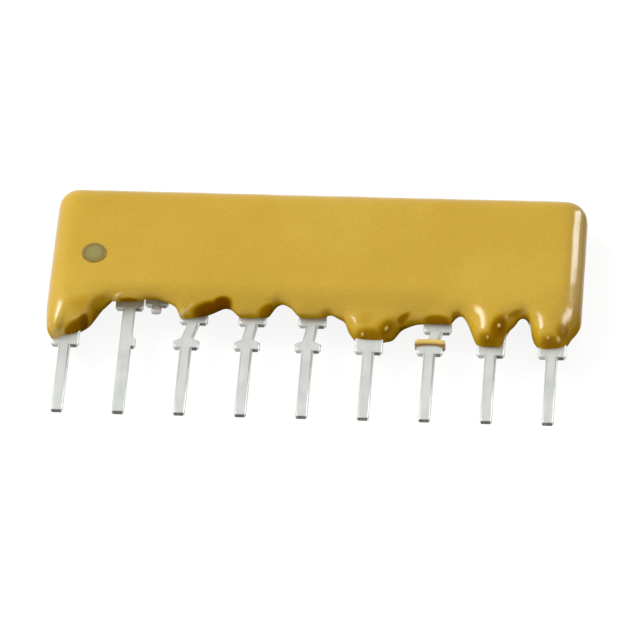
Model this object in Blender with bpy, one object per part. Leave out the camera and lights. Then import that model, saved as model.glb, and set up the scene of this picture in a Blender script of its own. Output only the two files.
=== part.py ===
"""Nine-lead single-in-line thick-film resistor network, dipped in epoxy.

The part lies on its back: X runs along the row of leads, with lead 1 on the left, +Y runs from
the lead tips to the top edge of the body, and +Z is the printed front. The origin is at the
middle of the part's box, on the surface that it lies on.

From the inside out it is an alumina plate with printed conductors and resistors under a glass
layer, nine stamped leads clipped and soldered to its lower edge, and the dipped epoxy coating.
"""

import math

import bmesh
import bpy
from mathutils import Vector

MM = 0.001

# Row of leads
LEAD_PITCH = 2.54 * MM
ROW_SHIFT = -0.1 * MM  # the row sits a little left of the middle of the coating
FIT_GAP = 0.01 * MM  # between pieces that touch on the real part

# Lead, heights above the seating plane, which is the underside of the lower shoulders
LEAD_LENGTH = 3.43 * MM
PIN_WIDTH = 0.508 * MM
SHEET_THICKNESS = 0.25 * MM
TIP_CHAMFER = 0.05 * MM
SHOULDER_WIDTH = 1.17 * MM
SHOULDER_RADIUS = 0.08 * MM
STANDOFF_WIDTH = 1.1 * MM
STANDOFF_HEIGHT = 0.52 * MM
STANDOFF_SLOPE = 0.16 * MM
UPPER_SHOULDER_HEIGHT = 1.32 * MM
FORK_HEIGHT = 3.4 * MM  # where the blank splits into three tines
TINE_BEND = 0.2 * MM
TINE_LENGTH = 1.05 * MM
TINE_WIDTH = 0.3 * MM

# Alumina plate, seated in the forks
PLATE_HEIGHT = 3.78 * MM
PLATE_THICKNESS = 0.635 * MM
PLATE_OVERHANG = 0.08 * MM  # past the outer clips

# Printed layers on the plate's front
FILM_THICKNESS = 0.02 * MM
FILM_MARGIN = 0.12 * MM  # bare rim of the plate
PAD_WIDTH = 1.5 * MM
PAD_HEIGHT = 1.4 * MM
BUS_HEIGHT = 0.55 * MM
RESISTOR_WIDTH = 1.05 * MM
GLASS_OVERLAP = 0.25 * MM

# Solder on each clip
SOLDER_LENGTH = 0.34 * MM
SOLDER_WIDTH = 0.62 * MM
SOLDER_HEIGHT = 0.22 * MM
SOLDER_TAPER = 0.8  # share of its section's area that is gone at its far end
SOLDER_RINGS = 4
SOLDER_ARCH_STEPS = 8

# Dipped coating
COAT_AT_ENDS = 0.385 * MM
COAT_ON_TOP = 0.64 * MM
COAT_ON_FACES = 0.7825 * MM
BODY_ROUNDING = 1.05 * MM  # how far in from its outline the coating reaches full thickness
CORNER_RADIUS = 0.85 * MM  # upper corners, seen from the front
ROUNDING_POWER = 2.3  # 2 is an ellipse, more is squarer
END_BELOW_FORK = 1.5 * MM  # down to where the straight ends turn into the outer runs
EDGE_STEPS = 3  # points on the smooth lower edge for each point of LOWER_EDGE
RIM_STEPS = 6  # rings from the outline to each flat face

# Lower edge of the coating. Between the leads it is a lean web that hangs down in front, with a
# slanting underside. On the leads the epoxy ran further down as full, round runs.
WEB_DROP = 1.7 * MM  # below the forks; less is all web
RUN_DROP = 2.8 * MM  # more is all run
WEB_LEVEL = 0.75 * MM  # the edge's place in front of the middle of the thickness
RUN_LEVEL = 0.3 * MM
WEB_BACK_POWER = 1.0  # a straight slant
RUN_BACK_POWER = 1.8
WEB_ROUNDING = 0.95 * MM  # height of the rounding between the edge and the flat front
RUN_ROUNDING = 1.75 * MM
BACK_ROUNDING = 1.75 * MM
EDGE_WINDOW = 9  # points to each side that a point of the flat face's edge is averaged over
END_EASE = 2.6 * MM  # from the ends in to where the lower edge has its full form

# Pin 1 dot of ink
DOT_DIAMETER = 1.02 * MM
DOT_SIDE = 0.93 * MM  # right of lead 1
DOT_ABOVE_FORK = 0.72 * MM
DOT_THICKNESS = 0.02 * MM
DOT_POINTS = 24

# Splash of coating left on the standoff of lead 7
SPLASH_LEAD = 7
SPLASH_DOWN = 0.1 * MM  # reach below the top of the standoff
SPLASH_UP = 0.18 * MM
SPLASH_AT_SIDES = 0.1 * MM
SPLASH_ON_FACES = 0.175 * MM
SPLASH_ROUNDING = 0.12 * MM
SPLASH_RINGS = 8
SPLASH_CORNER_STEPS = 3

# Cropped lead that peeps out of the coating between leads 2 and 3
STUB_FROM_CLIP = 0.055 * MM  # gap to the clip of lead 2
STUB_FROM_PLATE = 0.14 * MM
STUB_WIDTH = 0.98 * MM
STUB_NECK = 0.42 * MM
STUB_SHOULDER_DROP = 1.2 * MM  # underside of its shoulder below the forks
STUB_END_DROP = 1.54 * MM

# Leads with a second shoulder above the standoff: height of that shoulder, how far the upper
# part is set to the right of the pin, and the reach of the standoff to the left and the right
HALF_STANDOFF = STANDOFF_WIDTH / 2
STEPPED_LEADS = {
    2: (2.0 * MM, 0.0, PIN_WIDTH / 2, 0.42 * MM),
    3: (UPPER_SHOULDER_HEIGHT, 0.22 * MM, HALF_STANDOFF, HALF_STANDOFF),
    4: (UPPER_SHOULDER_HEIGHT, 0.13 * MM, HALF_STANDOFF, HALF_STANDOFF),
    5: (UPPER_SHOULDER_HEIGHT, 0.1 * MM, HALF_STANDOFF, HALF_STANDOFF),
    7: (1.15 * MM, 0.26 * MM, HALF_STANDOFF, HALF_STANDOFF),
}

# Lower edge of the coating: for each lead, points in millimetres right of the lead's axis and
# below the forks. The epoxy ran far down leads 1, 6, 8 and 9 and stopped short on the rest.
LOWER_EDGE = {
    1: ((-0.85, 2.5), (-0.66, 2.86), (-0.47, 2.95), (-0.2, 2.74), (0.3, 2.65), (0.8, 2.42),
        (1.0, 2.17), (1.2, 1.92), (1.48, 1.88), (1.74, 1.6)),
    2: ((-0.6, 1.6), (0.0, 1.61), (0.45, 1.56), (0.85, 1.41), (1.2, 1.42), (1.6, 1.58), (1.92, 1.74)),
    3: ((-0.56, 1.78), (-0.44, 1.94), (-0.3, 2.2), (0.3, 2.15), (0.8, 2.07), (1.2, 1.95), (1.55, 1.82)),
    4: ((-0.78, 1.84), (-0.6, 1.95), (-0.42, 2.1), (-0.1, 2.12), (0.6, 2.1), (0.82, 2.1),
        (0.94, 1.94), (1.09, 1.54), (1.4, 1.52)),
    5: ((-0.82, 1.69), (-0.62, 1.89), (-0.45, 2.04), (0.0, 2.07), (0.5, 2.06), (0.72, 2.0),
        (0.9, 1.94), (1.07, 2.01), (1.3, 2.09)),
    6: ((-1.06, 2.15), (-0.92, 2.44), (-0.8, 2.61), (-0.5, 2.78), (0.2, 2.84), (0.85, 2.78),
        (1.05, 2.64), (1.22, 2.35), (1.6, 2.22)),
    7: ((-0.6, 2.15), (0.0, 2.15), (0.6, 2.14), (0.82, 2.18), (0.94, 2.0), (1.2, 1.84)),
    8: ((-1.2, 1.89), (-0.99, 2.14), (-0.81, 2.48), (-0.64, 2.78), (-0.45, 2.87), (0.0, 2.85),
        (0.38, 2.87), (0.54, 2.57), (0.69, 2.27), (0.9, 2.15), (1.1, 1.91), (1.35, 1.76)),
    9: ((-1.0, 1.87), (-0.88, 2.35), (-0.69, 2.72), (-0.45, 2.87), (0.0, 2.8), (0.3, 2.79),
        (0.62, 2.63), (0.8, 2.25), (1.0, 1.93)),
}

# Sizes and places that follow
MERGE_DISTANCE = FIT_GAP / 100
LEAD_COUNT = len(LOWER_EDGE)
PLATE_LENGTH = (LEAD_COUNT - 1) * LEAD_PITCH + SHOULDER_WIDTH + 2 * PLATE_OVERHANG
PLATE_BOTTOM = FORK_HEIGHT + TINE_BEND + 2 * FIT_GAP
PLATE_TOP = PLATE_BOTTOM + PLATE_HEIGHT
BODY_LENGTH = PLATE_LENGTH + 2 * COAT_AT_ENDS
BODY_TOP = PLATE_TOP + COAT_ON_TOP
BODY_THICKNESS = PLATE_THICKNESS + 2 * COAT_ON_FACES
SEAT_Y = (LEAD_LENGTH - BODY_TOP) / 2
MIDDLE_Z = BODY_THICKNESS / 2
PLATE_FACE = PLATE_THICKNESS / 2
FILM_BASE = PLATE_FACE + FIT_GAP
FILM_TOP = FILM_BASE + FILM_THICKNESS
GLASS_BASE = FILM_TOP + FIT_GAP
GLASS_TOP = GLASS_BASE + FILM_THICKNESS
PAD_BOTTOM = PLATE_BOTTOM + FILM_MARGIN
PAD_TOP = PAD_BOTTOM + PAD_HEIGHT
BUS_TOP = PLATE_TOP - FILM_MARGIN
BUS_BOTTOM = BUS_TOP - BUS_HEIGHT
TINE_TOP = FORK_HEIGHT + TINE_BEND + TINE_LENGTH
DOT_HEIGHT = FORK_HEIGHT + DOT_ABOVE_FORK
SPLASH_BOTTOM = STANDOFF_HEIGHT - SPLASH_DOWN
SPLASH_TOP = STANDOFF_HEIGHT + SPLASH_UP
SPLASH_WIDTH = STANDOFF_WIDTH + 2 * SPLASH_AT_SIDES
SPLASH_THICKNESS = SHEET_THICKNESS + 2 * SPLASH_ON_FACES
STUB_SIDE = SHOULDER_WIDTH / 2 + STUB_FROM_CLIP + STUB_WIDTH / 2  # right of lead 2
STUB_TOP = PLATE_BOTTOM - STUB_FROM_PLATE
STUB_SHOULDER_HEIGHT = FORK_HEIGHT - STUB_SHOULDER_DROP
STUB_END_HEIGHT = FORK_HEIGHT - STUB_END_DROP


def lead_x(number):
    """Distance of a lead's pin from the middle of the coating."""
    return (number - (LEAD_COUNT + 1) / 2) * LEAD_PITCH + ROW_SHIFT


def clip_x(number):
    """Middle of a lead's clip, which sits to the right of the pin on some stepped leads."""
    return lead_x(number) + STEPPED_LEADS.get(number, (0, 0, 0, 0))[1]


def place(x, y, z):
    """A point given from the lead row, the seating plane and the middle of the thickness."""
    return Vector((x, SEAT_Y + y, MIDDLE_Z + z))


def material(name, colour, roughness, metallic=0.0):
    made = bpy.data.materials.new(name)
    made.use_nodes = True
    shader = made.node_tree.nodes["Principled BSDF"]
    shader.inputs["Base Color"].default_value = (*colour, 1.0)
    shader.inputs["Roughness"].default_value = roughness
    shader.inputs["Metallic"].default_value = metallic
    return made


EPOXY = material("golden epoxy", (0.63, 0.40, 0.05), 0.25)
INK = material("grey green ink", (0.31, 0.26, 0.07), 0.5)
TIN = material("tinned copper alloy", (0.72, 0.72, 0.70), 0.3, 1.0)
SOLDER = material("bright solder", (0.62, 0.62, 0.62), 0.35, 1.0)
ALUMINA = material("white alumina", (0.86, 0.85, 0.81), 0.6)
SILVER_FILM = material("silver palladium film", (0.52, 0.50, 0.46), 0.5, 1.0)
RESISTOR_FILM = material("ruthenium oxide film", (0.03, 0.03, 0.035), 0.55)
GLASS_FILM = material("green overglaze", (0.06, 0.16, 0.10), 0.2)


def finish(name, mesh_in_work, finish_material):
    """Turns the bmesh into the object of one piece."""
    bmesh.ops.recalc_face_normals(mesh_in_work, faces=mesh_in_work.faces)
    mesh = bpy.data.meshes.new(name)
    mesh_in_work.to_mesh(mesh)
    mesh_in_work.free()
    mesh.materials.append(finish_material)
    made = bpy.data.objects.new(name, mesh)
    bpy.context.scene.collection.objects.link(made)
    return made


def extruded_verts(extruded):
    return [item for item in extruded["geom"] if isinstance(item, bmesh.types.BMVert)]


def loft(sections):
    """A closed skin through rings of the same number of points, with a face on each end."""
    work = bmesh.new()
    order = work.verts.layers.int.new("order")
    ring = [work.verts.new(point) for point in sections[0]]
    for number, vertex in enumerate(ring):
        vertex[order] = number
    work.faces.new(ring)
    edges = list(work.edges)
    for section in sections[1:]:
        made = bmesh.ops.extrude_edge_only(work, edges=edges)
        ring = extruded_verts(made)
        for vertex in ring:
            vertex.co = section[vertex[order]]
        fresh = set(ring)
        edges = [
            item
            for item in made["geom"]
            if isinstance(item, bmesh.types.BMEdge) and set(item.verts) <= fresh
        ]
    work.faces.new(sorted(ring, key=lambda vertex: vertex[order]))
    bmesh.ops.remove_doubles(work, verts=work.verts, dist=MERGE_DISTANCE)
    return work


def block(low, high):
    """A box between two corners, given as in place()."""
    x0, y0, z0 = low
    x1, y1, z1 = high
    corners = ((x0, y0), (x1, y0), (x1, y1), (x0, y1))
    return loft([[place(x, y, z) for x, y in corners] for z in (z0, z1)])


def smooth_line(points, steps):
    """Catmull-Rom curve through the points, with this many steps between neighbours."""
    ends = [2 * points[0] - points[1], *points, 2 * points[-1] - points[-2]]
    line = []
    for before, start, stop, after in zip(ends, ends[1:], ends[2:], ends[3:]):
        for step in range(steps):
            t = step / steps
            line.append(
                0.5
                * (
                    2 * start
                    + (stop - before) * t
                    + (2 * before - 5 * start + 4 * stop - after) * t**2
                    + (3 * start - before - 3 * stop + after) * t**3
                )
            )
    line.append(points[-1])
    return line


def arc(centre, radius, start, stop, steps):
    """Points on an arc between two angles in degrees, both ends included."""
    angles = [math.radians(start + (stop - start) * step / steps) for step in range(steps + 1)]
    return [centre + radius * Vector((math.cos(a), math.sin(a))) for a in angles]


def lower_outline():
    """The smooth lower edge of the coating, from its left end to its right end."""
    half = BODY_LENGTH / 2
    end_bottom = FORK_HEIGHT - END_BELOW_FORK
    knots = [Vector((-half, end_bottom))]
    for number, points in LOWER_EDGE.items():
        knots += [Vector((lead_x(number) + x * MM, FORK_HEIGHT - drop * MM)) for x, drop in points]
    knots.append(Vector((half, end_bottom)))
    return smooth_line(knots, EDGE_STEPS)


def upper_outline():
    """The rest of the outline, from the top of the right end round to that of the left end."""
    half = BODY_LENGTH / 2
    turn = BODY_TOP - CORNER_RADIUS
    across = half - CORNER_RADIUS
    right = arc(Vector((across, turn)), CORNER_RADIUS, 0, 90, RIM_STEPS)
    left = arc(Vector((-across, turn)), CORNER_RADIUS, 90, 180, RIM_STEPS)
    middle = [Vector((across * (1 - 2 * step / LEAD_COUNT), BODY_TOP)) for step in range(1, LEAD_COUNT)]
    return right + middle + left


def within(value, low, high):
    return min(max(value, low), high)


def drawn_in(x):
    """A place along the outline's ends, moved in to leave room for the rounding there."""
    past = max(abs(x) - (BODY_LENGTH / 2 - END_EASE), 0.0)
    return x - math.copysign(past * BODY_ROUNDING / END_EASE, x)


def run_share(height):
    """How far the edge at a height belongs to a run: 0 is all web, 1 is all run."""
    share = within((FORK_HEIGHT - height - WEB_DROP) / (RUN_DROP - WEB_DROP), 0.0, 1.0)
    return share * share * (3 - 2 * share)


def between(web, run, share):
    return web + (run - web) * share


def flat_edge(points, web_rounding, run_rounding):
    """The lower edge of a flat face: the coating's own edge evened out and moved up."""
    made = []
    for number in range(len(points)):
        reach = min(number, EDGE_WINDOW, len(points) - 1 - number)
        near = points[number - reach : number + reach + 1]
        middle = sum(near, Vector((0, 0))) / len(near)
        rounding = between(web_rounding, run_rounding, run_share(middle.y))
        made.append(Vector((drawn_in(middle.x), middle.y + rounding)))
    return made


class RimPoint:
    """A point of the coating's outline, with how the skin runs from it to the flat faces."""

    def __init__(self, outer, front, back, level, back_power):
        self.outer = outer
        self.front = front
        self.back = back
        self.level = level
        self.back_power = back_power

    def at(self, step):
        """The skin's point at a step from the outline: 0 is the outline, the last one is flat."""
        angle = math.radians(90 * abs(step) / RIM_STEPS)
        power = ROUNDING_POWER if step > 0 else self.back_power
        inner = self.front if step > 0 else self.back
        spread = math.cos(angle) ** (2 / power) if abs(step) < RIM_STEPS else 0.0
        rise = math.sin(angle) ** (2 / power)
        face = math.copysign(BODY_THICKNESS / 2, step)
        point = inner + (self.outer - inner) * spread
        return place(point.x, point.y, self.level + (face - self.level) * rise)


def coating_rim():
    """Every point of the outline, with the form of the skin there."""
    lower = lower_outline()
    upper = upper_outline()
    side = BODY_LENGTH / 2 - BODY_ROUNDING
    rim = []
    fronts = flat_edge(lower, WEB_ROUNDING, RUN_ROUNDING)
    backs = flat_edge(lower, BACK_ROUNDING, BACK_ROUNDING)
    for outer, front, back in zip(lower, fronts, backs):
        run = run_share(outer.y)
        ease = within((BODY_LENGTH / 2 - abs(outer.x)) / END_EASE, 0.0, 1.0)
        level = between(WEB_LEVEL, RUN_LEVEL, run) * ease
        power = between(ROUNDING_POWER, between(WEB_BACK_POWER, RUN_BACK_POWER, run), ease)
        rim.append(RimPoint(outer, front, back, level, power))
    for outer in upper:
        inner = Vector((within(outer.x, -side, side), min(outer.y, BODY_TOP - BODY_ROUNDING)))
        rim.append(RimPoint(outer, inner, inner, 0.0, ROUNDING_POWER))
    return rim


def coating_sections():
    """Rings from the flat back to the outline and on to the flat front."""
    rim = coating_rim()
    return [[point.at(step) for point in rim] for step in range(-RIM_STEPS, RIM_STEPS + 1)]


def lead_side(number, grow):
    """Right-hand edge of a lead's blank from tip to fork, then the left-hand one, as x and y."""
    pin = PIN_WIDTH / 2 + grow
    tip = -LEAD_LENGTH - grow
    clip = SHOULDER_WIDTH / 2 + grow
    shoulder, shift, left_reach, right_reach = STEPPED_LEADS.get(number, (0, 0, 0, 0))
    sides = []
    for sign, reach in ((1, right_reach), (-1, left_reach)):
        side = [(sign * (pin - TIP_CHAMFER), tip), (sign * pin, tip + TIP_CHAMFER)]
        if shoulder:
            side += standoff_side(sign, pin, reach + grow, shoulder, shift, grow)
        else:
            side.append((sign * pin, -grow))
        side += shoulder_side(sign, clip, shoulder, shift, grow)
        sides.append(side)
    return sides


def standoff_side(sign, pin, reach, shoulder, shift, grow):
    """One edge of a stepped lead between its pin and its upper shoulder."""
    side = [(sign * pin, -grow)]
    if reach > pin:
        radius = min(SHOULDER_RADIUS, (reach - pin) / 2)
        side.append((sign * (reach - radius), -grow))
        side.append((sign * reach, radius - grow))
        side.append((sign * reach, STANDOFF_HEIGHT - STANDOFF_SLOPE))
        side.append((sign * pin, STANDOFF_HEIGHT + grow))
    side.append((sign * pin + shift, shoulder - grow))
    return side


def shoulder_side(sign, clip, shoulder, shift, grow):
    """One edge of the wide part of a lead, from its underside to the fork."""
    return [
        (sign * (clip - SHOULDER_RADIUS) + shift, shoulder - grow),
        (sign * clip + shift, shoulder + SHOULDER_RADIUS - grow),
        (sign * clip + shift, FORK_HEIGHT - grow),
    ]


def raise_tine(work, strip, lift, length):
    """Draws one strip of the fork out into a tine: bent to one side, then straight."""
    for move in (Vector((0, TINE_BEND, lift)), Vector((0, length, 0))):
        made = bmesh.ops.extrude_face_region(work, geom=[strip])
        bmesh.ops.delete(work, geom=[strip], context="FACES_ONLY")
        bmesh.ops.translate(work, verts=extruded_verts(made), vec=move)
        strip = next(item for item in made["geom"] if isinstance(item, bmesh.types.BMFace))


def lead_blank(number, grow):
    """A lead as one closed mesh, with every face moved out by grow."""
    half_sheet = SHEET_THICKNESS / 2 + grow
    centre = clip_x(number) - lead_x(number)
    clip = SHOULDER_WIDTH / 2 + grow
    tine = TINE_WIDTH / 2 + grow
    inner = SHOULDER_WIDTH / 2 - TINE_WIDTH - grow
    right, left = lead_side(number, grow)
    fork = FORK_HEIGHT - grow
    cuts = [(centre + x, fork) for x in (inner, tine, -tine, -inner)]
    outline = right + cuts + left[::-1]
    x = lead_x(number)
    work = loft([[place(x + p, q, z) for p, q in outline] for z in (-half_sheet, half_sheet)])
    front = PLATE_FACE + 2 * FIT_GAP + FILM_THICKNESS + SHEET_THICKNESS / 2
    back = PLATE_FACE + FIT_GAP + SHEET_THICKNESS / 2
    middle = x + centre
    tines = (
        (-(clip + inner) / 2, -back),
        (0.0, front),
        ((clip + inner) / 2, -back),
    )
    for offset, lift in tines:
        target = place(middle + offset, fork, 0)
        strip = min(work.faces, key=lambda face: (face.calc_center_median() - target).length)
        raise_tine(work, strip, lift, TINE_LENGTH + 2 * grow)
    return work


def solder_dome(number, grow):
    """Solder fillet at the end of the front tine: a quarter dome on the pad."""
    x = clip_x(number)
    base = FILM_TOP + FIT_GAP - grow
    start = TINE_TOP + FIT_GAP - grow
    width = SOLDER_WIDTH / 2 + grow
    angles = [math.pi * step / SOLDER_ARCH_STEPS for step in range(SOLDER_ARCH_STEPS + 1)]
    sections = []
    for ring in range(SOLDER_RINGS + 1):
        y = (SOLDER_LENGTH + 2 * grow) * ring / SOLDER_RINGS
        share = math.sqrt(1 - SOLDER_TAPER * (ring / SOLDER_RINGS) ** 2)
        sections.append(
            [
                place(
                    x + width * share * math.cos(a),
                    start + y,
                    base + (SOLDER_HEIGHT + 2 * grow) * share * math.sin(a),
                )
                for a in angles
            ]
        )
    return loft(sections)


def film(x0, x1, y0, y1):
    return block((x0, y0, FILM_BASE), (x1, y1, FILM_TOP))


def bus_conductor():
    """The common conductor: a bar along the top of the plate that comes down to pad 1."""
    left = clip_x(1) - PAD_WIDTH / 2
    left = max(left, -PLATE_LENGTH / 2 + FILM_MARGIN)
    leg = clip_x(1) + RESISTOR_WIDTH / 2
    pad = clip_x(1) + PAD_WIDTH / 2
    right = PLATE_LENGTH / 2 - FILM_MARGIN
    outline = (
        (left, PAD_BOTTOM),
        (pad, PAD_BOTTOM),
        (pad, PAD_TOP),
        (leg, PAD_TOP),
        (leg, BUS_BOTTOM),
        (right, BUS_BOTTOM),
        (right, BUS_TOP),
        (left, BUS_TOP),
    )
    return loft([[place(x, y, z) for x, y in outline] for z in (FILM_BASE, FILM_TOP)])


def pad_edges(number):
    """Left and right edge of a terminal pad, kept on the plate."""
    x = clip_x(number)
    rim = PLATE_LENGTH / 2 - FILM_MARGIN
    return max(x - PAD_WIDTH / 2, -rim), min(x + PAD_WIDTH / 2, rim)


def stub_blank(grow):
    """The cropped lead: a short neck under one shoulder, its upper end in the epoxy."""
    x = lead_x(2) + STUB_SIDE
    neck = STUB_NECK / 2 + grow
    wide = STUB_WIDTH / 2 + grow
    end = STUB_END_HEIGHT - grow
    shoulder = STUB_SHOULDER_HEIGHT - grow
    right = (
        (neck - TIP_CHAMFER, end),
        (neck, end + TIP_CHAMFER),
        (neck, shoulder),
        (wide - SHOULDER_RADIUS, shoulder),
        (wide, shoulder + SHOULDER_RADIUS),
        (wide, STUB_TOP + grow),
    )
    outline = [*right, *[(-p, q) for p, q in right[::-1]]]
    half_sheet = SHEET_THICKNESS / 2 + grow
    return loft([[place(x + p, q, z) for p, q in outline] for z in (-half_sheet, half_sheet)])


def splash():
    """A rounded collar of epoxy round the standoff."""
    x = lead_x(SPLASH_LEAD)
    across = SPLASH_WIDTH / 2 - SPLASH_ROUNDING
    deep = SPLASH_THICKNESS / 2 - SPLASH_ROUNDING
    sections = []
    for step in range(SPLASH_RINGS + 1):
        angle = math.pi * step / SPLASH_RINGS
        reach = SPLASH_ROUNDING * math.sin(angle)
        y = (SPLASH_BOTTOM + SPLASH_TOP) / 2 - (SPLASH_TOP - SPLASH_BOTTOM) / 2 * math.cos(angle)
        ring = []
        for quarter, (side, face) in enumerate(((1, 1), (-1, 1), (-1, -1), (1, -1))):
            corner = Vector((side * across, face * deep))
            ring += arc(corner, reach, 90 * quarter, 90 * quarter + 90, SPLASH_CORNER_STEPS)
        sections.append([place(x + p.x, y, p.y) for p in ring])
    return loft(sections)


def splash_bore():
    """The standoff's section, a fit gap larger, to be cut through the splash."""
    x = lead_x(SPLASH_LEAD)
    shoulder, shift, left, right = STEPPED_LEADS[SPLASH_LEAD]
    half_sheet = SHEET_THICKNESS / 2 + FIT_GAP
    pin = PIN_WIDTH / 2 + FIT_GAP
    outline = [(-left - FIT_GAP, 0), (right + FIT_GAP, 0)]
    outline += [(right + FIT_GAP, STANDOFF_HEIGHT - STANDOFF_SLOPE), (pin, STANDOFF_HEIGHT + FIT_GAP)]
    outline += [(pin + shift, shoulder), (shift - pin, shoulder)]
    outline += [(-pin, STANDOFF_HEIGHT + FIT_GAP), (-left - FIT_GAP, STANDOFF_HEIGHT - STANDOFF_SLOPE)]
    return loft([[place(x + p, q, z) for p, q in outline] for z in (-half_sheet, half_sheet)])


def cut_with(body, name, cutters):
    """Takes a group of hidden cutters from a body with one live Boolean."""
    group = bpy.data.collections.new(name)
    bpy.context.scene.collection.children.link(group)
    for cutter in cutters:
        bpy.context.scene.collection.objects.unlink(cutter)
        group.objects.link(cutter)
        cutter.hide_render = True
        cutter.display_type = "WIRE"
    cut = body.modifiers.new(name, "BOOLEAN")
    cut.operation = "DIFFERENCE"
    cut.solver = "EXACT"
    cut.operand_type = "COLLECTION"
    cut.collection = group


def build_inside():
    """The plate with its printed layers."""
    plate = PLATE_LENGTH / 2
    finish(
        "alumina_substrate",
        block((-plate, PLATE_BOTTOM, -PLATE_FACE), (plate, PLATE_TOP, PLATE_FACE)),
        ALUMINA,
    )
    finish("bus_conductor", bus_conductor(), SILVER_FILM)
    for number in range(2, LEAD_COUNT + 1):
        left, right = pad_edges(number)
        finish(f"terminal_pad_{number}", film(left, right, PAD_BOTTOM, PAD_TOP), SILVER_FILM)
        x = (left + right) / 2
        low = PAD_TOP + FIT_GAP
        high = BUS_BOTTOM - FIT_GAP
        half = RESISTOR_WIDTH / 2
        finish(f"resistor_film_{number - 1}", film(x - half, x + half, low, high), RESISTOR_FILM)
    first = sum(pad_edges(2)) / 2 - RESISTOR_WIDTH / 2 - GLASS_OVERLAP
    rim = PLATE_LENGTH / 2 - FILM_MARGIN
    finish(
        "glass_overglaze",
        block(
            (first, PAD_TOP - GLASS_OVERLAP, GLASS_BASE),
            (rim, BUS_BOTTOM + GLASS_OVERLAP, GLASS_TOP),
        ),
        GLASS_FILM,
    )


def build_leads():
    for number in range(1, LEAD_COUNT + 1):
        finish(f"lead_{number}", lead_blank(number, 0.0), TIN)
        finish(f"solder_joint_{number}", solder_dome(number, 0.0), SOLDER)
    finish("cropped_lead", stub_blank(0.0), TIN)


def build_coating():
    """The epoxy, hollow where the plate, the clips and the cropped lead sit."""
    body = finish("epoxy_coating", loft(coating_sections()), EPOXY)
    body.data.shade_smooth()
    plate = PLATE_LENGTH / 2 + FIT_GAP
    core = block(
        (-plate, PLATE_BOTTOM - FIT_GAP, -PLATE_FACE - FIT_GAP),
        (plate, PLATE_TOP + FIT_GAP, GLASS_TOP + FIT_GAP),
    )
    cutters = [finish("cut_plate", core, EPOXY), finish("cut_cropped_lead", stub_blank(FIT_GAP), EPOXY)]
    for number in range(1, LEAD_COUNT + 1):
        cutters.append(finish(f"cut_lead_{number}", lead_blank(number, FIT_GAP), EPOXY))
        cutters.append(finish(f"cut_solder_{number}", solder_dome(number, FIT_GAP), EPOXY))
    cut_with(body, "cuts in coating", cutters)


def build_splash():
    collar = finish("coating_splash", splash(), EPOXY)
    collar.data.shade_smooth()
    cut_with(collar, "cut in splash", [finish("cut_splash", splash_bore(), EPOXY)])


def build_dot():
    middle = Vector((lead_x(1) + DOT_SIDE, DOT_HEIGHT))
    rim = arc(middle, DOT_DIAMETER / 2, 0, 360, DOT_POINTS)[:-1]
    low = BODY_THICKNESS / 2 + FIT_GAP
    levels = (low, low + DOT_THICKNESS)
    finish("pin_1_dot", loft([[place(p.x, p.y, z) for p in rim] for z in levels]), INK)


def main():
    for old in list(bpy.data.objects):
        bpy.data.objects.remove(old, do_unlink=True)
    build_inside()
    build_leads()
    build_coating()
    build_splash()
    build_dot()


main()
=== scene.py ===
# %% [markdown]
# # A golden resistor network
# This small component is a ceramic plate with printed resistors, dipped in epoxy, with nine
# tinned leads in one row. The solid model gives every piece its real size and place. Here the
# pieces get their finish: a glossy run of epoxy, stamped and plated metal, and a spot of ink.
# The model is loaded once, and the box of a node can be read from it.

# %% Load the frame
import math

import bmesh
import bpy
from mathutils import Matrix, Vector, noise
from mathutils.bvhtree import BVHTree


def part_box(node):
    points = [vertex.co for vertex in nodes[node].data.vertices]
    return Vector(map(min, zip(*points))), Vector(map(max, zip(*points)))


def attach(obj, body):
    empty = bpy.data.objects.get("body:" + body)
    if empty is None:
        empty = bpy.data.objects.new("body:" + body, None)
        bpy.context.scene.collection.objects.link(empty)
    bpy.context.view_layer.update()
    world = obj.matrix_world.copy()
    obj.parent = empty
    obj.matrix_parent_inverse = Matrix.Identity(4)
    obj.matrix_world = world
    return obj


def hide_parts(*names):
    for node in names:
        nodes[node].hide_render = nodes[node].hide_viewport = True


MM = 0.001
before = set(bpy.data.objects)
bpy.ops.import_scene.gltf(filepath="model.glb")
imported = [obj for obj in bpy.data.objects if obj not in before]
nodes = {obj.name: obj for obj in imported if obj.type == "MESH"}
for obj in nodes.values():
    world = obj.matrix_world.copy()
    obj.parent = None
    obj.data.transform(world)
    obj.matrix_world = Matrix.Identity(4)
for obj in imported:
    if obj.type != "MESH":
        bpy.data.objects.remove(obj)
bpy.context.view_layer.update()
LEADS = range(1, 10)

# %% [markdown]
# ## The camera
# The photograph was taken through a long lens from the side of the leads, looking down steeply
# and turned a little to the right, with the camera rolled a few degrees. The camera stands where
# a measured fit puts it. It is built from plain angles: the back vector points from the part to
# the camera, and right and up complete the frame before the roll turns both.

# %% Place the camera
CAMERA_AZIMUTH = math.radians(8.05)
CAMERA_ELEVATION = math.radians(51.48)
CAMERA_ROLL = math.radians(-4.80)
CAMERA_DISTANCE = 267.4 * MM
CAMERA_TARGET = Vector((0.392, -1.217, 1.9)) * MM
LENS_PIXELS = 6439.0  # focal length in pixels of a frame 640 pixels wide
FRAME_PIXELS = 640.0
SENSOR_WIDTH = 36.0  # millimetres
CLIP_START = 0.01  # metres
CLIP_END = 10.0


def camera_axes(azimuth, elevation, roll):
    """The camera's right, up and back directions."""
    back = Vector(
        (
            math.sin(azimuth) * math.cos(elevation),
            -math.cos(azimuth) * math.cos(elevation),
            math.sin(elevation),
        )
    )
    right = Vector((math.cos(azimuth), math.sin(azimuth), 0.0))
    up = back.cross(right)
    turned_right = right * math.cos(roll) + up * math.sin(roll)
    turned_up = up * math.cos(roll) - right * math.sin(roll)
    return turned_right, turned_up, back


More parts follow.
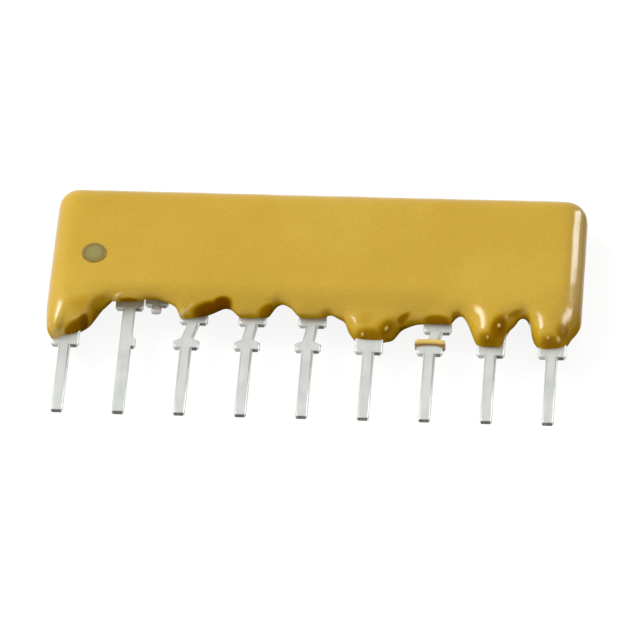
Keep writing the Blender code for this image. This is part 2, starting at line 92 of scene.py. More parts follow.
def place_camera():
    right, up, back = camera_axes(CAMERA_AZIMUTH, CAMERA_ELEVATION, CAMERA_ROLL)
    data = bpy.data.cameras.new("camera")
    data.sensor_width = SENSOR_WIDTH
    data.lens = LENS_PIXELS / FRAME_PIXELS * SENSOR_WIDTH
    data.clip_start = CLIP_START
    data.clip_end = CLIP_END
    camera = bpy.data.objects.new("camera", data)
    bpy.context.scene.collection.objects.link(camera)
    camera.location = CAMERA_TARGET + back * CAMERA_DISTANCE
    camera.rotation_mode = "QUATERNION"
    camera.rotation_quaternion = Matrix((right, up, back)).transposed().to_quaternion()
    bpy.context.scene.camera = camera
    return camera


camera = place_camera()
print("camera at mm:", [round(v / MM, 1) for v in camera.location])

# %% [markdown]
# ## Building materials from nodes
# A procedural material is a small network of nodes. Writing each link by hand soon hides what
# the material does, so a short class holds the tree and offers the few moves that all the
# finishes here share: add a node, set its sockets, and join it to the next one.


# %% A helper for node trees
RELIEF = 0.00001  # metres that the finest bumps stand out
# The Mix node has a set of sockets for each kind of value: these are the ones for colours
MIX_FACTOR, MIX_FIRST, MIX_SECOND, MIX_RESULT = 0, 6, 7, 2


class Finish:
    """A material's node tree, with its Principled shader at hand."""

    def __init__(self, name):
        self.material = bpy.data.materials.new(name)
        self.material.use_nodes = True
        self.tree = self.material.node_tree
        self.shader = self.tree.nodes["Principled BSDF"]

    def node(self, kind, settings=None, **inputs):
        """A new node, with its settings made and its sockets set or joined."""
        made = self.tree.nodes.new(kind)
        for name, value in (settings or {}).items():
            setattr(made, name, value)
        for name, value in inputs.items():
            self.put(made, name.replace("_", " "), value)
        return made

    def put(self, node, socket, value):
        """Joins a socket to another one, or sets it to a plain value."""
        if isinstance(value, bpy.types.NodeSocket):
            self.tree.links.new(value, node.inputs[socket])
        else:
            node.inputs[socket].default_value = value

    def shade(self, **inputs):
        """The same for the shader that ends the tree."""
        for name, value in inputs.items():
            self.put(self.shader, name.replace("_", " "), value)

    def place(self):
        """Object coordinates: metres from the part's origin."""
        return self.node("ShaderNodeTexCoord").outputs["Object"]

    def noise(self, scale, detail, stretch=None):
        """Noise with scale features to a metre, times stretch on each axis where that is given."""
        where = self.place()
        if stretch:
            mapping = self.node("ShaderNodeMapping", Vector=where)
            mapping.inputs["Scale"].default_value = stretch
            where = mapping.outputs["Vector"]
        made = self.node("ShaderNodeTexNoise", Vector=where, Scale=scale, Detail=detail)
        return made.outputs["Fac"]

    def ramp(self, value, *stops):
        """Colours along a value, each stop as position and linear colour."""
        made = self.node("ShaderNodeValToRGB", Fac=value)
        elements = made.color_ramp.elements
        while len(elements) < len(stops):
            elements.new(0.5)
        for element, (position, colour) in zip(elements, stops):
            element.position = position
            element.color = (*colour, 1.0)
        return made.outputs["Color"]

    def blend(self, amount, first, second, mode="MIX"):
        made = self.node("ShaderNodeMix", {"data_type": "RGBA", "blend_type": mode})
        self.put(made, MIX_FACTOR, amount)
        self.put(made, MIX_FIRST, first)
        self.put(made, MIX_SECOND, second)
        return made.outputs[MIX_RESULT]

    def reach(self, value, low, high, to_low=0.0, to_high=1.0):
        """The value moved from the reach low to high into another reach."""
        made = self.node("ShaderNodeMapRange", Value=value)
        for socket, number in zip(
            ("From Min", "From Max", "To Min", "To Max"), (low, high, to_low, to_high)
        ):
            made.inputs[socket].default_value = number
        return made.outputs["Result"]

    def bump(self, height, strength):
        made = self.node("ShaderNodeBump", Height=height, Strength=strength, Distance=RELIEF)
        return made.outputs["Normal"]

    def attribute(self, name):
        """A number that is painted on the mesh."""
        made = self.node("ShaderNodeAttribute", {"attribute_name": name})
        return made.outputs["Fac"]


def colour(red, green, blue):
    """Linear colour of a colour given as it looks on a screen, 0 to 255, by the sRGB curve."""

    def linear(value):
        share = value / 255
        return share / 12.92 if share <= 0.04045 else ((share + 0.055) / 1.055) ** 2.4

    return (linear(red), linear(green), linear(blue))


def opaque(rgb):
    return (*rgb, 1.0)


# %% [markdown]
# ## Floor, world and lamps
# The picture has a plain white ground. The floor is pale and dull, and for rays that come from
# the camera or from a shiny surface it glows as well, so that it looks white there and still
# keeps the soft shadow of the part. The world gives an even light, and is white where it is
# seen. The left flanks in the picture are bright, so one broad lamp stands on the left, which
# leaves the right flanks of the runs a little darker. The highlights are set apart from that
# light. Three lamps reach the glossy rays alone: one for the bright patches on the left flanks,
# one for the streak down the right end, and one for the bright patch below it. Where each stands
# follows from mirroring the way to the camera at the place where its highlight should lie.

# %% Light the part
FLOOR_SIZE = 1.2  # metres from its middle to an edge
FLOOR_COLOUR = (0.2, 0.2, 0.2)
FLOOR_GLOW = 0.88
WORLD_LEVEL = 0.585  # strength as a light
WORLD_SEEN = 1.0  # strength where it is seen
WHITE = (1.0, 1.0, 1.0)
LEFT_LAMP_SIDE = (-0.73, 0.27, 0.62)
LEFT_GLOSS_SIDE = (-0.53, 0.16, 0.83)
RIGHT_GLOSS_SIDE = (0.700, 0.665, 0.260)
LOW_GLOSS_SIDE = (0.815, 0.140, 0.563)
LEFT_DISTANCE = 0.42  # metres
RIGHT_DISTANCE = 0.24


def seen_by_shiny(tree):
    """One for rays from the camera, from a shiny surface or through glass, and nought for others."""
    path = tree.nodes.new("ShaderNodeLightPath")
    seen = path.outputs["Is Camera Ray"]
    for name in ("Is Glossy Ray", "Is Transmission Ray"):
        either = tree.nodes.new("ShaderNodeMath")
        either.operation = "MAXIMUM"
        tree.links.new(seen, either.inputs[0])
        tree.links.new(path.outputs[name], either.inputs[1])
        seen = either.outputs[0]
    return seen


def floor_material():
    material = bpy.data.materials.new("pale floor")
    material.use_nodes = True
    tree = material.node_tree
    tree.nodes.clear()
    dull = tree.nodes.new("ShaderNodeBsdfDiffuse")
    dull.inputs["Color"].default_value = opaque(FLOOR_COLOUR)
    glow = tree.nodes.new("ShaderNodeEmission")
    strength = tree.nodes.new("ShaderNodeMath")
    strength.operation = "MULTIPLY"
    tree.links.new(seen_by_shiny(tree), strength.inputs[0])
    strength.inputs[1].default_value = FLOOR_GLOW
    tree.links.new(strength.outputs[0], glow.inputs["Strength"])
    both = tree.nodes.new("ShaderNodeAddShader")
    output = tree.nodes.new("ShaderNodeOutputMaterial")
    tree.links.new(dull.outputs[0], both.inputs[0])
    tree.links.new(glow.outputs[0], both.inputs[1])
    tree.links.new(both.outputs[0], output.inputs["Surface"])
    return material


def make_floor():
    work = bmesh.new()
    bmesh.ops.create_grid(work, x_segments=1, y_segments=1, size=FLOOR_SIZE)
    mesh = bpy.data.meshes.new("floor")
    work.to_mesh(mesh)
    work.free()
    floor = bpy.data.objects.new("floor", mesh)
    bpy.context.scene.collection.objects.link(floor)
    mesh.materials.append(floor_material())


def make_world():
    world = bpy.data.worlds.new("studio")
    world.use_nodes = True
    tree = world.node_tree
    background = tree.nodes["Background"]
    background.inputs["Color"].default_value = opaque(WHITE)
    strength = tree.nodes.new("ShaderNodeMix")
    tree.links.new(seen_by_shiny(tree), strength.inputs["Factor"])
    strength.inputs["A"].default_value = WORLD_LEVEL
    strength.inputs["B"].default_value = WORLD_SEEN
    tree.links.new(strength.outputs["Result"], background.inputs["Strength"])
    bpy.context.scene.world = world


def soft_lamp(name, side, distance, width, height, watts, colours=False, gloss=False):
    """A rectangular lamp that looks at the part from one side, for its colours or its gloss."""
    data = bpy.data.lights.new(name, "AREA")
    data.shape = "RECTANGLE"
    data.size = width
    data.size_y = height
    data.energy = watts
    lamp = bpy.data.objects.new(name, data)
    bpy.context.scene.collection.objects.link(lamp)
    lamp.location = Vector(side).normalized() * distance
    lamp.rotation_mode = "QUATERNION"
    lamp.rotation_quaternion = lamp.location.to_track_quat("Z", "Y")
    lamp.visible_diffuse = colours
    lamp.visible_glossy = gloss


make_floor()
make_world()
soft_lamp(
    "left lamp", LEFT_LAMP_SIDE, LEFT_DISTANCE, width=0.26, height=0.26, watts=1.20, colours=True
)
soft_lamp(
    "left highlight", LEFT_GLOSS_SIDE, LEFT_DISTANCE, width=0.16, height=0.11, watts=0.80, gloss=True
)
soft_lamp(
    "right highlight", RIGHT_GLOSS_SIDE, RIGHT_DISTANCE, width=0.055, height=0.13, watts=0.25, gloss=True
)
soft_lamp(
    "low right highlight", LOW_GLOSS_SIDE, RIGHT_DISTANCE, width=0.11, height=0.11, watts=0.42, gloss=True
)
bpy.context.scene.view_settings.view_transform = "Standard"

# %% [markdown]
# ## From a solid to a skin
# The solid coating is hollow and slotted for the leads, because it has to be made around them.
# What the eye needs is its outer skin alone, and much finer. A copy of the node is merged, and the
# walls that lie close against a lead or the plate are found with a search tree of those pieces.
# Everything that can be reached from the flat front without crossing such a wall is the outer
# skin: the rest is deleted, and the slots are closed. A voxel remesh then gives an even, dense
# mesh. The work is done in millimetres, which keeps the numbers easy to read.

# %% Copy a node and finish a piece
MERGE_DISTANCE = 1e-4  # millimetres
FLAT_ANGLE = math.radians(0.5)


def merged_copy(node):
    """The node's mesh in millimetres, with the loose triangles joined."""
    work = bmesh.new()
    work.from_mesh(node.data)
    bmesh.ops.scale(work, vec=(1 / MM,) * 3, verts=work.verts)
    bmesh.ops.remove_doubles(work, verts=work.verts, dist=MERGE_DISTANCE)
    return work


def flat_merged_copy(node):
    """The same, with the triangles of each flat face joined to one face."""
    work = merged_copy(node)
    bmesh.ops.dissolve_limit(work, angle_limit=FLAT_ANGLE, verts=work.verts, edges=work.edges)
    return work


def as_object(name, work):
    """The bmesh, drawn in millimetres, as an object in the part's frame."""
    bmesh.ops.scale(work, vec=(MM,) * 3, verts=work.verts)
    mesh = bpy.data.meshes.new(name)
    work.to_mesh(mesh)
    work.free()
    made = bpy.data.objects.new(name, mesh)
    bpy.context.scene.collection.objects.link(made)
    return made


def modified(work, kind, **settings):
    """The bmesh after one modifier, still in millimetres."""
    mesh = bpy.data.meshes.new("draft")
    work.to_mesh(mesh)
    work.free()
    draft = bpy.data.objects.new("draft", mesh)
    bpy.context.scene.collection.objects.link(draft)
    modifier = draft.modifiers.new(kind, kind)
    for name, value in settings.items():
        setattr(modifier, name, value)
    graph = bpy.context.evaluated_depsgraph_get()
    made = bmesh.new()
    made.from_mesh(draft.evaluated_get(graph).to_mesh())
    bpy.data.objects.remove(draft)
    bpy.data.meshes.remove(mesh)
    return made


def dress(piece, node_names, slot, *materials):
    """Puts a new piece in the place of its nodes, on the part's only body."""
    for material in materials:
        piece.data.materials.append(material)
    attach(piece, "root")
    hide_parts(*node_names)


# %% Find the outer skin of the coating
WALL_GAP = 0.09  # millimetres from a wall of the hollow to the piece behind it, at most
WALL_FACING = -0.9  # cosine between the two at most, so that they face each other


def inner_pieces():
    """A search tree over everything that the coating holds."""
    work = bmesh.new()
    for name, node in nodes.items():
        if name not in ("epoxy_coating", "coating_splash", "pin_1_dot"):
            work.from_mesh(node.data)
    bmesh.ops.scale(work, vec=(1 / MM,) * 3, verts=work.verts)
    tree = BVHTree.FromBMesh(work)
    work.free()
    return tree


def is_wall(face, tree):
    """True for a face that lies close against a held piece and faces it."""
    _, normal, _, distance = tree.find_nearest(face.calc_center_median())
    return distance < WALL_GAP and face.normal.dot(normal) < WALL_FACING


def outer_region(seed, walls):
    """Faces that can be reached from the seed without crossing a wall."""
    found = {seed}
    front = [seed]
    while front:
        for edge in front.pop().edges:
            fresh = [face for face in edge.link_faces if face not in found and face not in walls]
            found.update(fresh)
            front += fresh
    return found


def boundary_loops(work):
    """The open edges of the skin, one list for each slot."""
    left = {edge for edge in work.edges if edge.is_boundary}
    loops = []
    while left:
        loop = [left.pop()]
        for edge in loop:
            for vertex in edge.verts:
                fresh = [other for other in vertex.link_edges if other in left]
                left.difference_update(fresh)
                loop += fresh
        loops.append(loop)
    return loops


def outer_skin(node):
    """The skin that can be reached from the highest face, open at the slots."""
    work = merged_copy(node)
    tree = inner_pieces()
    walls = {face for face in work.faces if is_wall(face, tree)}
    keep = outer_region(max(work.faces, key=lambda face: face.calc_center_median().z), walls)
    total = len(work.faces)
    drop = [face for face in work.faces if face not in keep]
    bmesh.ops.delete(work, geom=drop, context="FACES")
    print(node.name, "kept", len(keep), "of", total, "faces")
    return work


def close_slots(work):
    """Fills each slot with one face, and cuts every face with many corners into triangles."""
    loops = boundary_loops(work)
    for loop in loops:
        bmesh.ops.contextual_create(work, geom=loop)
    bmesh.ops.triangulate(work, faces=[face for face in work.faces if len(face.verts) > 4])
    still_open = sum(1 for edge in work.edges if not edge.is_manifold)
    print("slots closed:", len(loops), "odd edges left:", still_open)


# %% Remesh and relax the coating
COAT_VOXEL = 0.07  # millimetres
COAT_RELAX_STEPS = 5
RELAX_SHARE = 0.5


def relax(work, steps):
    """Moves each vertex towards the middle of its neighbours, once for each step."""
    for _ in range(steps):
        bmesh.ops.smooth_vert(
            work,
            verts=work.verts,
            factor=RELAX_SHARE,
            use_axis_x=True,
            use_axis_y=True,
            use_axis_z=True,
        )


def fine_coating():
    """The outer skin as an even, dense mesh without hard edges."""
    work = outer_skin(nodes["epoxy_coating"])
    close_slots(work)
    work = modified(work, "REMESH", mode="VOXEL", voxel_size=COAT_VOXEL)
    relax(work, COAT_RELAX_STEPS)
    print("coating triangles:", 2 * len(work.faces))
    return work


coat_mesh = fine_coating()

# %% [markdown]
# ## Model the runs
# Epoxy that ran down the leads dried as full lobes, with leaner webs between them, and on the
# leads where it stopped short it thins out towards the metal. The solid model has the outline
# of all this and a plain front. The lobes are modelled here by pushing the skin away from the
# camera, along the line of sight: the outline stays where it is, while the surface turns. The
# right end turns back a little too, below a height, which gives it a second highlight. On four
# leads the front creeps a little further down the metal. Small forms follow, along the normals:
# bubbles as small as a grain of salt, for which the mesh is first made finer round each of them,
# and a faint unevenness everywhere.

# %% Push the webs, the thin ends and the right end back
# All these numbers are millimetres, and a height counts from the seating plane of the leads
SEAT = -2.305  # y of that plane, as in the solid model
VIEW = camera_axes(CAMERA_AZIMUTH, CAMERA_ELEVATION, CAMERA_ROLL)[2]

# Middle, half width and depth of each lean web between two runs
WEBS = (
    (6.4, 1.15, 0.24),
    (8.95, 1.1, 0.29),
)
WEB_LOW, WEB_HIGH = 1.1, 2.3  # heights between which the push fades out

# Where the coat thins out towards its edge: x where that starts, is full, fades and ends
THIN_STRETCH = (-9.6, -8.0, 4.8, 7.2)
THIN_PUSH = 0.38
THIN_FULL, THIN_START = 1.3, 2.8  # heights

# The right end turns back below a height, which parts the streak of light there
END_SIDE = (9.4, 10.9)
END_HEIGHTS = (2.1, 3.5)
END_PUSH = 0.09
PUSH_DEPTHS = (0.2, 1.3)  # z where each of these pushes starts and is full

# Middle of each lead down which the epoxy creeps, and how far
CREEP = ((-10.26, 0.26), (2.44, 0.2), (7.52, 0.16), (10.06, 0.21))
CREEP_WIDTH = (0.5, 0.85)  # from that middle, where the creep is full and ends
CREEP_HEIGHT = (0.6, 1.5)  # heights in the same way
CREEP_DEPTHS = (0.9, 1.25)  # z where it starts and is full
FRONT_RELAX_STEPS = 2


def smooth_step(value, low, high):
    """A soft rise from nought at low to one at high."""
    share = min(max((value - low) / (high - low), 0.0), 1.0)
    return share * share * (3 - 2 * share)


def web_depth(x):
    """How far the web at this place lies behind the runs beside it."""
    return max(
        depth * (1 - smooth_step(abs(x - middle), 0.0, width)) for middle, width, depth in WEBS
    )


def push_back(x, height):
    """How far the front of the skin moves away from the camera at a place."""
    web = web_depth(x) * (1 - smooth_step(height, WEB_LOW, WEB_HIGH))
    start, full, fading, end = THIN_STRETCH
    stretch = smooth_step(x, start, full) * (1 - smooth_step(x, fading, end))
    thin = THIN_PUSH * stretch * (1 - smooth_step(height, THIN_FULL, THIN_START))
    turned = END_PUSH * smooth_step(x, *END_SIDE) * (1 - smooth_step(height, *END_HEIGHTS))
    return web + thin + turned


def creep(x, height):
    """How far the front of the skin moves down along a lead."""
    low = 1 - smooth_step(height, *CREEP_HEIGHT)
    return low * max(
        depth * (1 - smooth_step(abs(x - middle), *CREEP_WIDTH)) for middle, depth in CREEP
    )


def shape_front(work):
    """Moves the front of the skin, and notes on each vertex the way back."""
    way_back = work.verts.layers.float_vector.new("way_back")
    for vertex in work.verts:
        x, height = vertex.co.x, vertex.co.y - SEAT
        move = -VIEW * smooth_step(vertex.co.z, *PUSH_DEPTHS) * push_back(x, height)
        move.y -= smooth_step(vertex.co.z, *CREEP_DEPTHS) * creep(x, height)
        vertex.co += move
        vertex[way_back] = -move


def place_before(work):
    """A function for a vertex's x, height and z before the front was shaped."""
    way_back = work.verts.layers.float_vector["way_back"]

    def place(vertex):
        before = vertex.co + vertex[way_back]
        return before.x, before.y - SEAT, before.z

    return place


shape_front(coat_mesh)
relax(coat_mesh, FRONT_RELAX_STEPS)

# %% Add the bubbles
FRONT_DEPTH = 1.2  # z above which the skin counts as its front

# x, height, radius and rise of each bubble, in millimetres
BUBBLES = (
    (3.19, 0.82, 0.10, 0.05),
    (7.86, 1.05, 0.10, 0.05),
    (10.34, 0.76, 0.10, 0.05),
    (-8.14, 1.95, 0.10, 0.04),
    (2.2, 0.7, 0.08, 0.04),
    (9.9, 0.78, 0.07, 0.03),
    (7.4, 0.68, 0.07, 0.03),
)
BUBBLE_REACH = 0.15  # millimetres round the middle of a bubble where the mesh is made finer
BUBBLE_CUTS = 2  # times that its edges are halved there
UNEVEN = 0.012  # millimetres
UNEVEN_SCALE = 0.9  # waves to a millimetre
UNEVEN_INWARDS = 0.5  # keeps the unevenness for the most part inside the solid


def refine_near(work, places, reach, times):
    """Halves the edges close to each place on the front of the skin, and then the halves."""
    place = place_before(work)

    def is_near(edge):
        x, height, z = place(edge.verts[0])
        return z > FRONT_DEPTH and any(
            math.hypot(x - spot[0], height - spot[1]) < reach for spot in places
        )

    for _ in range(times):
        near = [edge for edge in work.edges if is_near(edge)]
        bmesh.ops.subdivide_edges(work, edges=near, cuts=1, use_grid_fill=True)
    print("edges near the bubbles:", len(near))


def in_ellipse(x, height, ellipse):
    """Distance from the middle of a turned ellipse, where 1 is its rim."""
    middle_x, middle_height, half_length, half_width, turn = ellipse[:5]
    angle = math.radians(turn)
    dx, dh = x - middle_x, height - middle_height
    along = dx * math.cos(angle) + dh * math.sin(angle)
    across = dh * math.cos(angle) - dx * math.sin(angle)
    return math.hypot(along / half_length, across / half_width)


def add_small_forms(work):
    """Raises the bubbles and the unevenness along the normals."""
    work.normal_update()
    place = place_before(work)
    moves = []
    for vertex in work.verts:
        x, height, z = place(vertex)
        out = 0.0
        if z > FRONT_DEPTH:
            for bubble_x, bubble_height, radius, rise in BUBBLES:
                far = math.hypot(x - bubble_x, height - bubble_height) / radius
                out += rise * math.sqrt(max(1 - far * far, 0.0))
        out += UNEVEN * (noise.noise(vertex.co * UNEVEN_SCALE) - UNEVEN_INWARDS)
        moves.append(vertex.normal * out)
    for vertex, move in zip(work.verts, moves):
        vertex.co += move


refine_near(coat_mesh, BUBBLES, BUBBLE_REACH, BUBBLE_CUTS)
add_small_forms(coat_mesh)
print("coating vertices:", len(coat_mesh.verts))

# %% [markdown]
# ## Paint shade and highlights on the epoxy
# Where the epoxy hangs under the body it looks olive or brown instead of golden, because little
# light gets there. That darkening is painted shade. It follows the shape, not the space around it,
# so it is painted on the mesh as an attribute: one number for each vertex. A light wash of it comes
# from how far the surface faces away from the left lamp, and soft strokes, each a turned ellipse,
# deepen it where the picture is darkest. A second number is a painted highlight: a few thin lines,
# the tips of two runs, a patch on the leftmost run, and the bubbles.

# %% Paint the shade and the highlights
# The wash and the strokes are painted shade, deepest where the surface faces away from the left lamp
LIT_SIDE = Vector(LEFT_LAMP_SIDE).normalized()
WASH = 0.3  # shade of a surface that looks away from the lit side
WASH_START = 0.3  # cosine to the lit side where the wash starts
WASH_REACH = 0.7  # and how much smaller it is where the wash is full
TONE_HEIGHTS = (2.2, 3.2)  # heights between which all shade fades out
TONE_FACING = (-0.95, -0.5)  # z of the normal: the back, below the first, takes no shade
PAINT_DEPTHS = (0.7, 1.0)  # z where the strokes and the pale lines start and are full
LINE_EDGE = (0.3, 1.3)  # half widths from a pale line's middle where it is full and ends
# A painted highlight on each bubble
BUBBLE_HIGHLIGHT = 0.8
BUBBLE_EDGE = 0.8  # share of a bubble's radius in which the pale tone rises

# Strokes of painted shade, each with its x, height, half length, half width, turn in degrees,
# amount, and share of the ellipse that fades
SHADES = (
    (-9.7, 1.55, 0.75, 0.5, 30, 0.32, 0.9),
    (-9.5, 0.98, 0.44, 0.29, 25, 0.85, 0.75),
    (-9.85, 0.82, 0.85, 0.27, 25, 0.7, 0.6),
    (-8.95, 1.62, 0.75, 0.42, 45, 0.45, 0.7),
    (-7.6, 1.84, 0.66, 0.1, 0, 0.7, 0.5),
    (-4.35, 1.5, 1.0, 0.38, 17, 0.95, 0.7),
    (-3.75, 1.66, 0.55, 0.46, 20, 1.0, 0.5),
    (-1.8, 1.5, 0.68, 0.34, 27, 0.68, 0.7),
    (-1.87, 1.93, 0.25, 0.1, 0, 0.25, 0.8),
    (-2.5, 1.2, 0.75, 0.22, 0, 0.5, 0.8),
    (0.15, 1.22, 0.75, 0.22, 0, 0.5, 0.8),
    (0.6, 1.45, 0.35, 0.22, 20, 0.4, 0.7),
    (2.3, 1.2, 0.6, 0.4, 0, 0.2, 0.9),
    (3.15, 0.85, 0.85, 0.5, 25, 0.6, 0.8),
    (2.5, 0.7, 1.1, 0.34, 0, 0.58, 0.75),
    (3.85, 1.3, 0.5, 0.2, 35, 0.65, 0.7),
    (5.25, 1.28, 0.75, 0.24, 0, 0.6, 0.5),
    (6.02, 1.5, 0.3, 0.18, 35, 0.5, 0.6),
    (7.8, 1.0, 0.85, 0.5, 60, 0.78, 0.8),
    (8.45, 1.58, 0.55, 0.2, 30, 0.5, 0.7),
    (7.5, 0.66, 0.85, 0.34, 0, 0.58, 0.75),
    (10.05, 0.68, 0.95, 0.34, 0, 0.55, 0.8),
    (10.5, 1.0, 0.55, 0.45, 45, 0.52, 0.8),
)

# Start and end of each painted highlight line, as x and height, its half width and its amount
PAINTED_HIGHLIGHT_LINES = (
    (-10.6, 1.15, -10.53, 1.5, 0.16, 0.45),
    (-9.97, 1.02, -9.4, 1.24, 0.03, 0.4),
    (-10.57, 0.61, -10.32, 0.76, 0.05, 0.5),
    (-5.26, 1.36, -4.97, 1.64, 0.05, 0.45),
    (-8.3, 1.85, -8.05, 2.05, 0.07, 0.5),
    (-10.72, 0.42, -10.6, 0.62, 0.12, 0.6),
    (-5.5, 1.1, -5.38, 1.36, 0.1, 0.6),
)


def shade_at(x, height):
    """The deepest stroke of painted shade at a place."""
    deepest = 0.0
    for stroke in SHADES:
        amount, fading = stroke[5:]
        inside = 1 - smooth_step(in_ellipse(x, height, stroke), 1 - fading, 1.0)
        deepest = max(deepest, amount * inside)
    return deepest


def highlight_line_at(x, height):
    """The strongest painted highlight line at a place."""
    strongest = 0.0
    for x0, h0, x1, h1, half_width, amount in PAINTED_HIGHLIGHT_LINES:
        way = Vector((x1 - x0, h1 - h0))
        gone = Vector((x - x0, height - h0))
        share = gone.dot(way) / way.length_squared
        near = way * min(max(share, 0.0), 1.0)
        far = (gone - near).length / half_width
        strongest = max(strongest, amount * (1 - smooth_step(far, *LINE_EDGE)))
    return strongest


def paint_shade_and_highlights(work):
    """Writes the painted shade and the painted highlight of each vertex."""
    work.normal_update()
    shade = work.verts.layers.float.new("shade")
    pale = work.verts.layers.float.new("pale")
    place = place_before(work)
    for vertex in work.verts:
        x, height, z = place(vertex)
        low = 1 - smooth_step(height, *TONE_HEIGHTS)
        off_back = smooth_step(vertex.normal.z, *TONE_FACING)
        away = smooth_step(WASH_START - vertex.normal.dot(LIT_SIDE), 0.0, WASH_REACH)
        front = smooth_step(z, *PAINT_DEPTHS)
        vertex[shade] = low * off_back * max(WASH * away, front * shade_at(x, height))
        spot = max(
            1 - math.hypot(x - bubble_x, height - bubble_height) / radius
            for bubble_x, bubble_height, radius, _ in BUBBLES
        )
        bubble = BUBBLE_HIGHLIGHT * smooth_step(spot, 0.0, BUBBLE_EDGE)
        vertex[pale] = front * max(highlight_line_at(x, height), bubble)


paint_shade_and_highlights(coat_mesh)
vectors = coat_mesh.verts.layers.float_vector
vectors.remove(vectors["way_back"])
print("painted vertices:", len(coat_mesh.verts))

# %% [markdown]
# ## Glossy epoxy
# Cured epoxy is smooth and wet-looking. In the picture it mirrors less and less towards its
# shaded underside. How strongly a surface mirrors has to be one plain number for each material,
# so the coating is given five materials that differ in nothing else, and each face takes the one
# that suits its shade. The colour runs from gold over olive to dark brown along the painted
# shade, with broad clouds and a fine speckle in it.

# %% Coating object and material
GOLD_DARK = colour(204, 163, 32)
GOLD = colour(208, 167, 36)
GOLD_LIGHT = colour(212, 172, 46)
SHADE_STEPS = (
    (0.0, (1.0, 1.0, 1.0)),
    (0.3, (0.86, 0.79, 0.5)),
    (0.6, (0.52, 0.40, 0.12)),
    (1.0, (0.26, 0.14, 0.03)),
)
# The colour of the painted highlights
PAINTED_HIGHLIGHT_COLOUR = colour(238, 210, 140)
GLOSS_LEVELS = (0.45, 0.32, 0.18, 0.05, 0.0)
GLOSS_FALL = 1.4  # how fast the level rises with the shade
SIDE_FACING = 0.85  # x of the normal above which a face belongs to the side of the right end
SIDE_GLOSS = 3  # its place in the levels
UNDER_Y, UNDER_Z = -0.3, 0.35  # a face looks down between the runs if its normal is below both
UNDER_GLOSS = 4  # its place in the levels


def epoxy_material(level):
    finish = Finish("dipped epoxy " + str(level))
    clouds = finish.noise(scale=260.0, detail=4.0)
    gold = finish.ramp(clouds, (0.3, GOLD_DARK), (0.5, GOLD), (0.7, GOLD_LIGHT))
    grain = finish.noise(scale=9000.0, detail=1.0)
    speckle = finish.reach(grain, low=0.3, high=0.7, to_low=0.96, to_high=1.04)
    speckled = finish.blend(1.0, gold, speckle, "MULTIPLY")
    # The painted shade darkens the gold to olive and dark brown
    shade = finish.ramp(finish.attribute("shade"), *SHADE_STEPS)
    shaded = finish.blend(1.0, speckled, shade, "MULTIPLY")
    # The painted highlights lighten the colour towards cream
    base = finish.blend(finish.attribute("pale"), shaded, opaque(PAINTED_HIGHLIGHT_COLOUR))
    finish.shade(Base_Color=base, Roughness=0.2, Specular_IOR_Level=level)
    peel = finish.noise(scale=1400.0, detail=2.0)
    finish.shade(Normal=finish.bump(peel, strength=0.12))
    return finish.material


def choose_gloss(work):
    """Gives each face the gloss that suits its shade and the side it looks to."""
    shade = work.verts.layers.float["shade"]
    for face in work.faces:
        deepest = max(vertex[shade] for vertex in face.verts)
        level = min(int(deepest * len(GLOSS_LEVELS) * GLOSS_FALL), UNDER_GLOSS)
        if face.normal.x > SIDE_FACING:
            level = max(level, SIDE_GLOSS)
        if face.normal.y < UNDER_Y and face.normal.z < UNDER_Z:
            level = UNDER_GLOSS
        face.material_index = level


epoxy = [epoxy_material(level) for level in GLOSS_LEVELS]
choose_gloss(coat_mesh)
coat = as_object("coating_skin", coat_mesh)
coat.data.shade_smooth()
dress(coat, ["epoxy_coating"], "epoxy", *epoxy)
print("coating faces:", len(coat.data.polygons), "materials:", len(epoxy))

# %% [markdown]
# ## The leads
# Each lead is stamped from thin sheet and then tinned. The hot tin draws the long edges round,
# so they catch the light as white lines beside a grey strip; their whiter, less metallic colour
# is a painted highlight on top of that. The ends are sheared after the tinning and show the darker
# core of the sheet. A bevel with a weight for each edge makes both kinds in one go: wide on the
# long edges, narrow round the sheared faces.

# %% Round the edges of a lead
SHARP = math.radians(50)
LONG_EDGE_ROUNDING = 0.1  # millimetres
CUT_EDGE_SHARE = 0.25  # of that rounding, round a sheared face
LEAD_EDGE_SEGMENTS = 4
BROAD_FACING = 0.7  # z of the normal beyond which a face is the sheet's front or back
CUT_FACING = -0.8  # y of the normal below which a face is a cut
PIN_END_DEPTH = 2.0  # a cut deeper than this below the seat is a pin's end
TIN, CORE, TIN_EDGE_HIGHLIGHT = 0, 1, 2  # places of the materials on a lead


def faces_front_or_back(face):
    return abs(face.normal.z) > BROAD_FACING


def is_cut(face):
    return face.normal.y < CUT_FACING


def is_dark_cut(face, middle):
    """Pin ends and the cuts right of the middle get the dark core; the cuts on the left keep the tin."""
    centre = face.calc_center_median()
    return centre.x > middle or centre.y < SEAT - PIN_END_DEPTH


def rounded_lead(node, middle):
    """A lead with soft edges, and the material of each face chosen."""
    work = flat_merged_copy(node)
    weight = work.edges.layers.float.new("bevel_weight_edge")
    for edge in work.edges:
        if len(edge.link_faces) != 2 or edge.calc_face_angle(0.0) < SHARP:
            continue
        broad = [face for face in edge.link_faces if faces_front_or_back(face)]
        cut = [face for face in edge.link_faces if is_cut(face)]
        if cut:
            edge[weight] = CUT_EDGE_SHARE
        elif len(broad) == 1:
            edge[weight] = 1.0
    for face in work.faces:
        if is_cut(face):
            face.material_index = CORE if is_dark_cut(face, middle) else TIN
        elif not faces_front_or_back(face):
            face.material_index = TIN_EDGE_HIGHLIGHT
    return modified(
        work,
        "BEVEL",
        limit_method="WEIGHT",
        width=LONG_EDGE_ROUNDING,
        segments=LEAD_EDGE_SEGMENTS,
        use_clamp_overlap=True,
    )


# %% Tin and the sheared core
SMOOTH_ANGLE = math.radians(40)
FLAT_FACE = 0.99  # z of the normal, or y downwards, beyond which a face stays flat


